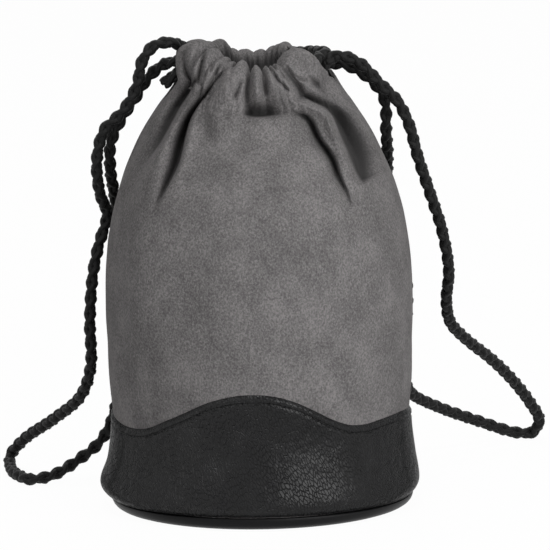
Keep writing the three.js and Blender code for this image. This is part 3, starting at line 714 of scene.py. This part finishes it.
def tunnel_route(side, lane, bulge):
    """From the mouth's slit on the loop's own side, through the front casing, to the far slit's middle."""
    inside = [lane_point(-side * t, lane) for t in np.linspace(-CASING_END, CASING_END, 19)]
    start = CASING_END + math.degrees(CORD_GAP / CASING_RADIUS)
    crossing = []
    for share in np.linspace(0, 0.5, 7):
        swell = math.sin(math.pi * share) ** CROSSING_EASE
        point = lane_point(-side * (start + share * (180 - 2 * start)), lane)
        crossing.append(point + np.array([-side * bulge[0], 0, bulge[1]]) * swell)
    return inside + crossing


def whole_cord(side, lane, route, bulge):
    """One cord from the far slit's middle through the rear casing, round its loop, and back in front."""
    ahead = tunnel_route(side, lane, bulge)
    behind = [p * (1, -1, 1) for p in reversed(ahead)]
    lead = [lane_point(side * (CASING_END + math.degrees((CORD_GAP + past) / CASING_RADIUS)), lane)
            for past in (0, CORD_DIAMETER / 3)]
    rear_lead = [p * (1, -1, 1) for p in lead]
    points = [*behind, *rear_lead, *[np.array(p, float) for p in route], *reversed(lead), *ahead]
    fine = spline(points, 0.25)
    total = lengths(fine)[-1]
    return resample(fine, np.linspace(0, total, int(total / ROPE_STEP) + 1))


def frames(path):
    """Two directions square to a path at each point, carried along it without twisting."""
    along = np.gradient(path, axis=0)
    along /= np.linalg.norm(along, axis=1, keepdims=True)
    first = np.cross(along[0], (0.3, 0.2, 1))
    out = [first / np.linalg.norm(first)]
    for tangent in along[1:]:
        carried = out[-1] - tangent * (out[-1] @ tangent)
        out.append(carried / np.linalg.norm(carried))
    one = np.array(out)
    return one, np.cross(along, one)


def strand_line(path, one, two, distance, strand):
    """Centre line of one of the four strands: two wind each way, passing over and under."""
    way = 1 if strand % 2 == 0 else -1
    wind = 2 * np.pi * distance / BRAID_PITCH
    angle = way * wind + np.pi * (strand // 2)
    out = STRAND_RING + way * STRAND_WEAVE * np.cos(2 * wind)
    return path + one * (out * np.cos(angle))[:, None] + two * (out * np.sin(angle))[:, None]


def rope_mesh(name, path, basis, distance):
    """Braided cord along a path: four strands, each a closed tube."""
    points, faces, uv = [], [], []
    for strand in range(4):
        line = strand_line(path, *basis, distance, strand)
        across, up = frames(line)
        angle = np.arange(STRAND_SIDES) * 2 * np.pi / STRAND_SIDES
        ring = (line[:, None, :] + STRAND_RADIUS * (
            across[:, None, :] * np.cos(angle)[None, :, None] + up[:, None, :] * np.sin(angle)[None, :, None]))
        start = sum(len(p) for p in points)
        rows = len(line)
        faces += grid_faces(rows, STRAND_SIDES, start, wrap=True)
        faces.append(tuple(start + k for k in reversed(range(STRAND_SIDES))))
        faces.append(tuple(start + (rows - 1) * STRAND_SIDES + k for k in range(STRAND_SIDES)))
        points.append(ring.reshape(-1, 3))
        around = np.minimum(np.arange(STRAND_SIDES), STRAND_SIDES - np.arange(STRAND_SIDES)) / STRAND_SIDES
        flat = np.broadcast_arrays(distance[:, None], around[None, :] + strand)
        uv.append(np.stack(flat, axis=-1).reshape(-1, 2))
    return make_mesh(name, np.vstack(points), faces, NYLON, np.vstack(uv))


def make_cord(name, side, lane, route, bulge):
    """The free loop and the two stretches held in the casings, cut from one cord."""
    path = whole_cord(side, lane, route, bulge)
    basis = frames(path)
    distance = lengths(path)
    outside = np.where(path[:, 0] * side > CASING_RADIUS + LOOP_START)[0]
    first, last = outside[0], outside[-1]
    stretches = {"rear": slice(0, first + 1), "loop": slice(first, last + 1), "front": slice(last, len(path))}
    made = {}
    for part, cut in stretches.items():
        label = f"{name}_cord_{part}" if part == "loop" else f"{name}_cord_{part}_run"
        made[part] = rope_mesh(label + "_braid", path[cut], [b[cut] for b in basis], distance[cut])
    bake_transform(made["loop"])
    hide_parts(f"{name}_cord_loop", f"{name}_cord_rear_end", f"{name}_cord_front_end")
    for part, way in (("front", -1), ("rear", 1)):
        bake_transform(made[part])
        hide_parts(f"{name}_cord_{part}_run", f"{name}_cord_crossing")


# Suede, lining and foam of one half

def shoulder(parts):
    """Radius and height points of the wall from the body up to the neck."""
    rises = np.arange(1, parts) / parts
    radius = BODY_RADIUS + (NECK_RADIUS - BODY_RADIUS) * rises**SHOULDER_CURVE
    return [(r, SHOULDER_FOOT + (NECK_HEIGHT - SHOULDER_FOOT) * k) for r, k in zip(radius, rises)]


WALL_LINE = [(58.1, WALL_FOOT), (60, 9), (58.2, 20.3), (56.9, 34), (58.2, 50), (BODY_RADIUS, SHOULDER_FOOT),
             *shoulder(7), (NECK_RADIUS, NECK_HEIGHT - 0.6)]
CASING_LINE = [(29.3, 169.4), (29.6, 172.5), (29.4, 178), (28, 181.4), (25.5, 182.6), (23, 181.5),
               (21.6, 178), (21.4, 173.5), (22, 170), (24.5, 168.6), (27, 168.4)]


class Sheet:
    """Rows of the half's cloth, from the foot up over the casing's top and down its inside."""

    def __init__(self):
        line = spline(WALL_LINE + CASING_LINE, 0.1)
        along = lengths(line)
        self.top = along[np.argmax(line[:, 1])]
        outer = along < self.top

        def at_height(height):
            return np.interp(height, line[outer, 1], along[outer])

        self.slit = at_height(SLIT_FOOT)
        self.stitch = at_height(NECK_HEIGHT + 0.4)
        body, folds, inside = at_height(60), at_height(112), self.top + 3
        stretches = [(0, body, 3.2), (body, folds, 2.6), (folds, self.slit, 0.8), (self.slit, inside, 0.62),
                     (inside, along[-1], 1.2)]
        self.places = np.concatenate([*[np.arange(*stretch) for stretch in stretches], along[-1:]])
        self.line = resample(line, self.places)
        slope = np.gradient(line, axis=0)
        slope /= np.linalg.norm(slope, axis=1, keepdims=True)
        slope = resample(slope, self.places, along)
        self.normal = np.stack([slope[:, 1], -slope[:, 0]], axis=1)


CLOTH = Sheet()


def slit_edges(half):
    """Turn of the cloth's left and right edge at each row: the seam below, the slit's hem above."""
    top, stitch, end = CLOTH.top, CLOTH.stitch, CLOTH.places[-1]
    seam = 90 - math.degrees(SEWN_GAP / 2 / BODY_RADIUS)
    hems = {
        "front": (
            [(stitch - 1, 75), (stitch + 3, 71), (stitch + 6, 77), (stitch + 9, 80), (top, 78), (top + 8, 74),
             (end, 74)],
            [(stitch - 1, 85), (stitch + 1.5, 74), (stitch + 4, 67), (stitch + 9, 52), (top, 38), (top + 6, 50),
             (top + 11, 66), (end, 72)]),
        "rear": (
            [(stitch - 1, 84), (stitch + 1.5, 70), (stitch + 3, 58), (stitch + 8, 38), (top, 29), (top + 6, 38),
             (top + 11, 54), (end, 68)],
            [(stitch - 1, 76), (top, 76), (end, 74)]),
    }
    below = [(0, seam), (CLOTH.slit - 6, seam)]
    return [np.interp(CLOTH.places, *np.array(below + hem, float).T) for hem in hems[half]]


def past_ends(across, up, line):
    """How far places lie beyond the straight cuts across the two ends of a line."""
    over = np.zeros_like(across)
    for (x, v), (from_x, from_v) in ((line[0], line[1]), (line[-1], line[-2])):
        run = math.hypot(x - from_x, v - from_v)
        over = np.maximum(over, ((across - x) * (x - from_x) + (up - v) * (v - from_v)) / run)
    return over


def fold_depth(across, up, knots, left=EVEN, right=EVEN, square=False):
    """Depth of one fold at places in the picture plane, in millimetres away from the eye.

    Depth and width count double while the line is drawn, so that it has more points where they change."""
    line = spline([(x, v, d * 2, w * 2) for x, v, d, w in knots], 0.8)
    depth = np.zeros_like(across)
    reach = max(14, 1.3 * line[:, 3].max())
    near = (across > line[:, 0].min() - reach) & (across < line[:, 0].max() + reach)
    near &= (up > line[:, 1].min() - reach) & (up < line[:, 1].max() + reach)
    across, up = across[near], up[near]
    most = np.zeros_like(across)
    for (x0, v0, d0, w0), (x1, v1, d1, w1) in zip(line, line[1:]):
        ex, ey = x1 - x0, v1 - v0
        share = np.clip(((across - x0) * ex + (up - v0) * ey) / (ex * ex + ey * ey + 1e-9), 0, 1)
        gx, gy = across - x0 - share * ex, up - v0 - share * ey
        beyond = ex * gy - ey * gx > 0
        width = (w0 + share * (w1 - w0)) / 2 * np.where(beyond, right[0], left[0])
        away = np.hypot(gx, gy) / width
        here = (d0 + share * (d1 - d0)) / 2 * np.exp(-(away ** np.where(beyond, right[1], left[1])))
        most = np.maximum(most, here)
    if square:
        most *= np.exp(-((past_ends(across, up, line[:, :2]) / SQUARE_EASE) ** 1.5))
    depth[near] = most
    return depth


def ruffle(turn, starts, share):
    """Rounded ruffles with sharp creases between them; `share` is 0 at the casing's foot, 1 at its top."""
    bulges = np.array([bulge for _, _, bulge in starts])
    out = np.zeros_like(turn)
    for row, k in enumerate(share[:, 0]):
        edges = np.array([foot + (top - foot) * k for top, foot, _ in starts])
        spot = np.clip(np.searchsorted(edges, turn[row], side="right") - 1, 0, len(edges) - 2)
        across = np.clip((turn[row] - edges[spot]) / (edges[spot + 1] - edges[spot]), 0, 1)
        out[row] = bulges[spot] * np.sin(np.pi * across) ** 0.75
    return out


def pleats(turn):
    """Fine pleats of the casing's inner side."""
    draw = np.random.default_rng(PLEAT_SEED)
    starts, place = [], -95.0
    while place < 95:
        starts.append((place, place, draw.uniform(1, 2.2)))
        place += PLEAT_DEGREES * draw.uniform(0.65, 1.4)
    return ruffle(turn, [*starts, (place, place, 0)], np.zeros_like(turn))


def waviness(turn, height, radius):
    """Slack of the cloth: broad, shallow dents."""
    flat = np.stack([np.radians(turn) * radius, height, np.full_like(turn, 3.7)], axis=-1).reshape(-1, 3)
    values = [noise.noise(Vector(p / 26)) + 0.5 * noise.noise(Vector(p / 11)) for p in flat]
    return np.array(values).reshape(turn.shape)


def crinkles(turn, height):
    """Small upright creases that the drawn cords press into the casing."""
    flat = np.stack([turn * 0.28, height / 9, np.zeros_like(turn)], axis=-1).reshape(-1, 3)
    return np.array([0.3 - abs(noise.noise(Vector(p))) for p in flat]).reshape(turn.shape)


def cloth_grid(half):
    """Turn, height and outward relief of the half's cloth on its grid, before the folds."""
    front = half == "front"
    left, right = slit_edges(half)
    share = np.linspace(-1, 1, STEPS_ACROSS + 1)[None, :]
    turn = np.where(share < 0, share * left[:, None], share * right[:, None])
    places = CLOTH.places[:, None]
    radius, height = CLOTH.line[:, :1], CLOTH.line[:, 1:]
    rise = (height - SHOULDER_FOOT) / (NECK_HEIGHT - SHOULDER_FOOT)
    past_top = smooth(places, CLOTH.top - 6, CLOTH.top + 6)
    soft_foot = sum(reach * bell(turn - at, width) for at, width, reach in SOFT_FOOT) if front else 0
    in_casing = smooth(places, CLOTH.stitch - 9 - soft_foot, CLOTH.stitch + 4 - 0.7 * soft_foot)
    drop = COLLAR_DIP * np.cos(np.radians(turn)) ** 2 * np.where(places < CLOTH.stitch, smooth(rise, 0.3, 1), 1)
    edge_rise = np.interp(turn, *np.array(FRONT_TOP if front else REAR_TOP, float).T)
    inside = smooth(places, CLOTH.top + 2, CLOTH.top + 13)
    near_top = smooth(places, CLOTH.stitch + 1, CLOTH.top) * (1 - 0.7 * inside)
    up_casing = np.clip((places - CLOTH.stitch) / (CLOTH.top - CLOTH.stitch), 0, 1)
    ruffles = ruffle(turn, FRONT_RUFFLES if front else REAR_RUFFLES, up_casing)
    height = height - drop + (edge_rise + SCALLOP_SHARE * ruffles) * near_top

    puff = CASING_PUFF * smooth(80 - np.abs(turn), 0, 16) + CRINKLE_DEPTH * crinkles(turn, height)
    if front:
        flush = smooth(turn, 36, 62) * (1 - 0.6 * up_casing)
        puff, ruffles = puff * (1 - flush), ruffles * (1 - flush)
    relief = in_casing * ((ruffles + puff) * (1 - past_top) + pleats(turn) * past_top)
    relief += 0.1 * soft_foot * bell(places - CLOTH.stitch - 1.5, 3.5)
    relief += SLACK_DEPTH * waviness(turn, height, radius) * smooth(height, 36, 60) * (1 - in_casing)
    relief += OVER_BAND_SWELL * (1 - smooth(height, 50, 66)) * smooth(height, 30, 38)
    if front:
        relief += SOFT_CORNER * bell(turn + 48, 12) * smooth(height, 45, 80) * (1 - smooth(height, 120, 150))
    seam = (90 - np.abs(turn)) * np.radians(1) * radius
    relief -= SEAM_DEPTH * bell(seam, 1.2) * (1 - smooth(places, CLOTH.slit - 12, CLOTH.slit))
    return turn, height, relief


def folded(points, half):
    """Points of a half moved away from the eye by its folds and towards it by the rolls between them.

    Also gives the share of painted shade at each point, from 0 to 1: growing with its depth in a fold, and high
    inside the mouth."""
    folds, rolls = (FRONT_FOLDS, FRONT_ROLLS) if half == "front" else (REAR_FOLDS, REAR_ROLLS)
    rise = math.radians(VIEW_ELEVATION)
    away = np.array([0, math.cos(rise), -math.sin(rise)])
    across, up = points[..., 0], points[..., 2] * math.cos(rise) + points[..., 1] * math.sin(rise)
    sunk, raised = np.zeros_like(across), np.zeros_like(across)
    for fold in folds:
        sunk = np.maximum(sunk, fold_depth(across, up, *fold))
    for knots in rolls:
        raised = np.maximum(raised, fold_depth(across, up, knots))
    places = CLOTH.places[:, None]
    depth = (sunk - raised) * (1 - smooth(places, CLOTH.top - 4, CLOTH.top + 1))
    depth += sunk * smooth(places, CLOTH.places[-1] - 9, CLOTH.places[-1] - 3)
    cord_room = np.sqrt(np.clip(CORD_ROOM**2 - across**2, 0, None))
    dip = COLLAR_DIP * points[..., 1] ** 2 / (points[..., 0] ** 2 + points[..., 1] ** 2)
    over_hem = points[..., 2] + depth * away[2] - (HEM_HEIGHT - dip)
    room = (-points[..., 1] - cord_room).clip(0)
    room = room + FREE_DEPTH * (1 - smooth(over_hem, -1, 1)) + FREE_DEPTH * (places > CLOTH.top)
    depth = np.minimum(depth, room)
    # Painted shade: darker the deeper a point lies in a fold, even where the room left keeps the fold
    # shallower; and darker inside the mouth
    painted_shade_share = smooth(np.minimum(sunk, depth + 5), 1, 9)
    in_mouth = MOUTH_SHADE * smooth(places, CLOTH.top + 1.5, CLOTH.top + 7)
    return points + depth[..., None] * away, np.maximum(painted_shade_share, in_mouth)


def facing(points):
    """Outward direction of a grid of points, averaged a little."""
    normal = np.cross(np.gradient(points, axis=1), np.gradient(points, axis=0))
    normal /= np.linalg.norm(normal, axis=-1, keepdims=True) + 1e-9
    padded = np.pad(normal, [(1, 1), (1, 1), (0, 0)], mode="edge")
    normal = sum(padded[a:a + len(normal), b:b + normal.shape[1]] for a in range(3) for b in range(3))
    return normal / (np.linalg.norm(normal, axis=-1, keepdims=True) + 1e-9)


def least_radius(points, turn, height):
    """Least radius of the folded suede near some turns and heights, for what lies behind it."""
    cell = 2
    grid = np.full((100, 91), 99.0)
    outer = points[CLOTH.places < CLOTH.stitch]
    angle = np.degrees(np.arctan2(outer[..., 0], -outer[..., 1])).clip(-90, 90)
    spots = (outer[..., 2] / cell).astype(int).clip(0, 99), ((angle + 90) / cell).astype(int).clip(0, 90)
    np.minimum.at(grid, spots, np.hypot(outer[..., 0], outer[..., 1]))
    grid = lowest_near(grid, 2)
    return grid[(height / cell).astype(int).clip(0, 99), ((turn + 90) / cell).astype(int).clip(0, 90)]


def place_grid(turn, height, relief, rows=slice(None)):
    """Points of the cloth; near the casing's foot the relief goes straight out."""
    places, (out, up) = CLOTH.places[rows, None], np.split(CLOTH.normal[rows], 2, axis=1)
    at_foot = smooth(places, CLOTH.stitch - 16, CLOTH.stitch - 3)
    straight = at_foot * (1 - smooth(places, CLOTH.stitch + 4, CLOTH.stitch + 9))
    radius = CLOTH.line[rows, :1] + relief * (out + (1 - out) * straight)
    return at_turn(radius, turn, height + relief * up * (1 - (1 - CASING_UPWARD) * at_foot))


def turned_round(points, half):
    """Points of a half, shaped as if in front, at their place."""
    return points if half == "front" else points * (-1, -1, 1)


def lowest_near(values, reach):
    """Lowest value within some steps of each grid point, then smoothed."""
    for measure in (np.min, np.mean):
        for axis in (0, 1):
            padded = np.pad(values, [(reach, reach) if k == axis else (0, 0) for k in (0, 1)], mode="edge")
            windows = np.lib.stride_tricks.sliding_window_view(padded, 2 * reach + 1, axis=axis)
            values = measure(windows, axis=-1)
    return values


def blend_half(piece):
    """Bakes the piece's placement into its mesh."""
    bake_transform(piece)


def make_half(half):
    """Suede with its casing, lining and foam of the front or rear half."""
    turn, height, relief = cloth_grid(half)
    outer, painted_shade_share = folded(place_grid(turn, height, relief), half)
    inner = outer - facing(outer) * SUEDE_THICK
    suede = shell_mesh(f"{half}_suede", turned_round(outer, half), turned_round(inner, half), SUEDE, "suede")
    # Painted shade of the folds and the mouth, given to the suede's outer and inner points; its rounded edge
    # takes none
    painted_shade = suede.data.attributes.new("painted_shade", "FLOAT", "POINT")
    shade = np.zeros(len(suede.data.vertices))
    shade[:2 * painted_shade_share.size] = np.tile(painted_shade_share.ravel(), 2)
    painted_shade.data.foreach_set("value", shade)
    blend_half(suede)
    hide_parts(f"{half}_panel", f"{half}_casing")

    rows = np.where(CLOTH.places < CLOTH.stitch)[0][::2]
    steps = np.arange(0, STEPS_ACROSS + 1, 3)
    pick = np.ix_(rows, steps)
    depth = SUEDE_THICK + SEWN_GAP + (FOAM_THICK + SEWN_GAP) * (1 - smooth(height, FOAM_TOP - 4, FOAM_TOP + 8))
    plain = CLOTH.line[rows, :1] - depth[pick]
    behind = least_radius(outer, turn[pick], height[pick]) - SUEDE_THICK - LINING_ROOM
    radius = np.minimum(plain, lowest_near(behind, 1))
    faces = [at_turn(radius - more, turn[pick], height[pick]) for more in (0, LINING_THICK)]
    lining = shell_mesh(f"{half}_lining_cloth", *[turned_round(f, half) for f in faces], LINING, "lining")
    blend_half(lining)
    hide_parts(f"{half}_lining")

    rows = np.where((CLOTH.line[:, 1] < FOAM_TOP) & (CLOTH.places < CLOTH.top))[0]
    pick = np.ix_(rows, steps)
    depth = SUEDE_THICK + SEWN_GAP / 2
    low = lowest_near(relief, 5)
    faces = [place_grid(turn[pick], height[pick], (low - more)[pick], rows)
             for more in (depth, depth + FOAM_THICK)]
    foam = shell_mesh(f"{half}_foam", *[turned_round(f, half) for f in faces], FOAM, "foam")
    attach(foam, "pouch")
    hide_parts(f"{half}_padding")


# Leather band and base

def band_edge(turn):
    """Height of the band's upper edge."""
    line = spline(BAND_EDGE, 0.5)
    return np.interp(turn, line[:, 0], line[:, 1])


def wall_radius(height):
    """Radius of the suede's outer side, which the band lies on."""
    line = spline(WALL_LINE, 0.2)
    return np.interp(height, line[:, 1], line[:, 0])


def band_relief(below, above_foot):
    """Outer face of the band over its inner: rounded edges and the sunk line of stitching."""
    edge = 1 - 0.5 * bell(below, 0.7)
    foot = 1 - 0.5 * bell(above_foot, 0.8)
    groove = 0.5 * bell(below - BINDING_HEIGHT, 0.3)
    return BAND_THICK * edge * foot - groove


def foot_slack(turn, height):
    """The leather bellies out at the left and lies flatter at the right, near the foot."""
    return bell(height - 10, 6) * (LEFT_BELLY * smooth(-turn, 35, 85) - RIGHT_FLATNESS * smooth(turn, 45, 85))


def make_band(half):
    """Leather band of a half with its line of stitches; rows lie closer under its edge."""
    steps = np.linspace(-90 + BAND_SEAM_TURN, 90 - BAND_SEAM_TURN, BAND_STEPS + 1)
    near = [0, 0.25, 0.6, 1.1, 1.7, 2.1, 2.35, 2.6, 2.85, 3.2, 3.8, 4.8]
    shares = 1 - np.linspace(1, 0, 40)[1:] ** 1.4
    edge = band_edge(steps)[None, :]
    foot = WALL_FOOT - BAND_OVERHANG + (front_lift(steps)[None, :] if half == "front" else 0)
    start = edge - near[-1]
    upper = edge - np.array(near)[:, None]
    lower = start + (foot - start) * shares[:, None]
    height = np.vstack([upper, lower])[::-1]
    base = wall_radius(height) + SEWN_GAP / 2
    slack = foot_slack(steps[None, :] if half == "front" else -steps[None, :], height)
    outer = at_turn(base + slack + band_relief(edge - height, height - foot), steps[None, :], height)
    inner = at_turn(base + 0.9 * slack.clip(0), steps[None, :], height)
    flat = np.stack(np.broadcast_arrays(np.radians(steps)[None, :] * BODY_RADIUS, height), axis=-1)
    band = shell_mesh(
        f"{half}_leather_band", turned_round(outer, half), turned_round(inner, half), LEATHER, "leather", flat)
    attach(band, "pouch")
    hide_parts(f"{half}_band")
    seam_height = band_edge(steps) - BINDING_HEIGHT
    seam = at_turn(wall_radius(seam_height) + SEWN_GAP / 2 + BAND_THICK - STITCH_SINK, steps, seam_height)
    stitches = sewn_line(f"{half}_band_stitches", turned_round(seam, half))
    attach(stitches, "pouch")


def stitch_tree():
    """Stitches along a line: short rounded threads, one to each pitch, laid along the line."""
    tree = bpy.data.node_groups.new("stitches_along_line", "GeometryNodeTree")
    face = tree.interface
    face.new_socket("Geometry", in_out="INPUT", socket_type="NodeSocketGeometry")
    sizes = {}
    for label, value in (("Pitch", STITCH_PITCH), ("Length", STITCH_LENGTH), ("Radius", THREAD_RADIUS)):
        socket = face.new_socket(label, in_out="INPUT", socket_type="NodeSocketFloat")
        sizes[socket.identifier] = value * MM
    face.new_socket("Geometry", in_out="OUTPUT", socket_type="NodeSocketGeometry")
    given = add(tree, "NodeGroupInput")
    line = add(tree, "GeometryNodeMeshToCurve", {"Mesh": given.outputs["Geometry"]})
    spaced = add(tree, "GeometryNodeCurveToPoints", {
        "Curve": line, "Length": given.outputs["Pitch"]}, mode="LENGTH")
    thread = add(tree, "GeometryNodeMeshUVSphere", {"Segments": 8, "Rings": 6, "Radius": 0.5})
    thin = add(tree, "ShaderNodeCombineXYZ", {
        "X": given.outputs["Radius"], "Y": given.outputs["Radius"], "Z": given.outputs["Length"]})
    shaped = add(tree, "GeometryNodeTransform", {"Geometry": thread, "Scale": thin})
    laid = add(tree, "GeometryNodeInstanceOnPoints", {
        "Points": spaced.outputs["Points"], "Instance": shaped,
        "Rotation": spaced.outputs["Rotation"]})
    real = add(tree, "GeometryNodeRealizeInstances", {"Geometry": laid})
    dressed = add(tree, "GeometryNodeSetMaterial", {"Geometry": real, "Material": THREAD})
    add(tree, "NodeGroupOutput", {"Geometry": dressed})
    return tree, sizes


STITCHES, STITCH_SIZES = stitch_tree()


def sewn_line(name, points):
    """A row of stitches along the points, made a plain mesh."""
    mesh = bpy.data.meshes.new(name + "_line")
    mesh.from_pydata((points * MM).tolist(), [(k, k + 1) for k in range(len(points) - 1)], [])
    guide = new_object(name + "_line", mesh)
    sewing = guide.modifiers.new("sewing", "NODES")
    sewing.node_group = STITCHES
    for identifier, size in STITCH_SIZES.items():
        sewing[identifier] = size
    evaluated = guide.evaluated_get(bpy.context.evaluated_depsgraph_get())
    plain = bpy.data.meshes.new_from_object(evaluated)
    plain.shade_smooth()
    bpy.data.objects.remove(guide)
    return new_object(name, plain)


def make_base():
    """Leather tray, welt, foam and lining disc, and the board's material."""
    rim, height = BASE_RADIUS, BASE_RIM_HEIGHT
    cover = lathe_mesh("base_leather", [
        (0, 0), (rim - 5, 0), (rim - 3.6, 0.15), (rim - 2.2, 0.6), (rim - 1.1, 1.3), (rim - 0.4, 2.1), (rim, 3),
        (rim + 0.15, height - 0.2), (rim - 0.1, height + 0.25), (rim - 0.6, height + 0.4),
        (rim - 2.4, height + 0.3), (rim - 2.7, height), (rim - 2.8, 1.3), (0, 1.3)],
        BASE_LEATHER, lift_from=2)
    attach(cover, "pouch")
    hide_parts("base_cover")
    welt_out, low, high = rim - 1.4, height + 0.45, height + 1.25
    welt = ring_mesh("base_welt_cord", [
        (welt_out - 4, low), (welt_out - 0.4, low), (welt_out, (low + high) / 2), (welt_out - 0.4, high),
        (welt_out - 4, high)], BASE_LEATHER)
    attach(welt, "pouch")
    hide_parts("base_welt")
    (_, _, foam_low), (foam_edge, _, foam_high) = [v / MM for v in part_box("base_padding")]
    foam = lathe_mesh("base_foam", [
        (0, foam_low), (foam_edge - 0.8, foam_low), (foam_edge, foam_low + 0.8), (foam_edge, foam_high - 1),
        (foam_edge - 0.4, foam_high - 0.3), (foam_edge - 1.2, foam_high), (0, foam_high)], FOAM)
    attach(foam, "pouch")
    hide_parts("base_padding")
    (_, _, cloth_low), (cloth_edge, _, cloth_high) = [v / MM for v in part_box("base_lining")]
    cloth = lathe_mesh("base_lining_cloth", [
        (0, cloth_low), (cloth_edge - 0.4, cloth_low), (cloth_edge, (cloth_low + cloth_high) / 2),
        (cloth_edge - 0.4, cloth_high), (cloth_edge * 0.5, cloth_high), (0, cloth_high)], LINING)
    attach(cloth, "pouch")
    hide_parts("base_lining")
    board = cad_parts["base_board"]
    board.data.materials.clear()
    board.data.materials.append(BOARD)


picture_camera()
white_world()
pale_floor()
for lamp_name, setting in LAMPS.items():
    softbox(lamp_name, *setting)

make_cord("left", -1, 1, LEFT_ROUTE, LEFT_CROSSING)
make_cord("right", 1, -1, RIGHT_ROUTE, RIGHT_CROSSING)
for half_name in ("front", "rear"):
    make_half(half_name)
    make_band(half_name)
make_base()

bpy.context.scene.view_settings.view_transform = "Standard"
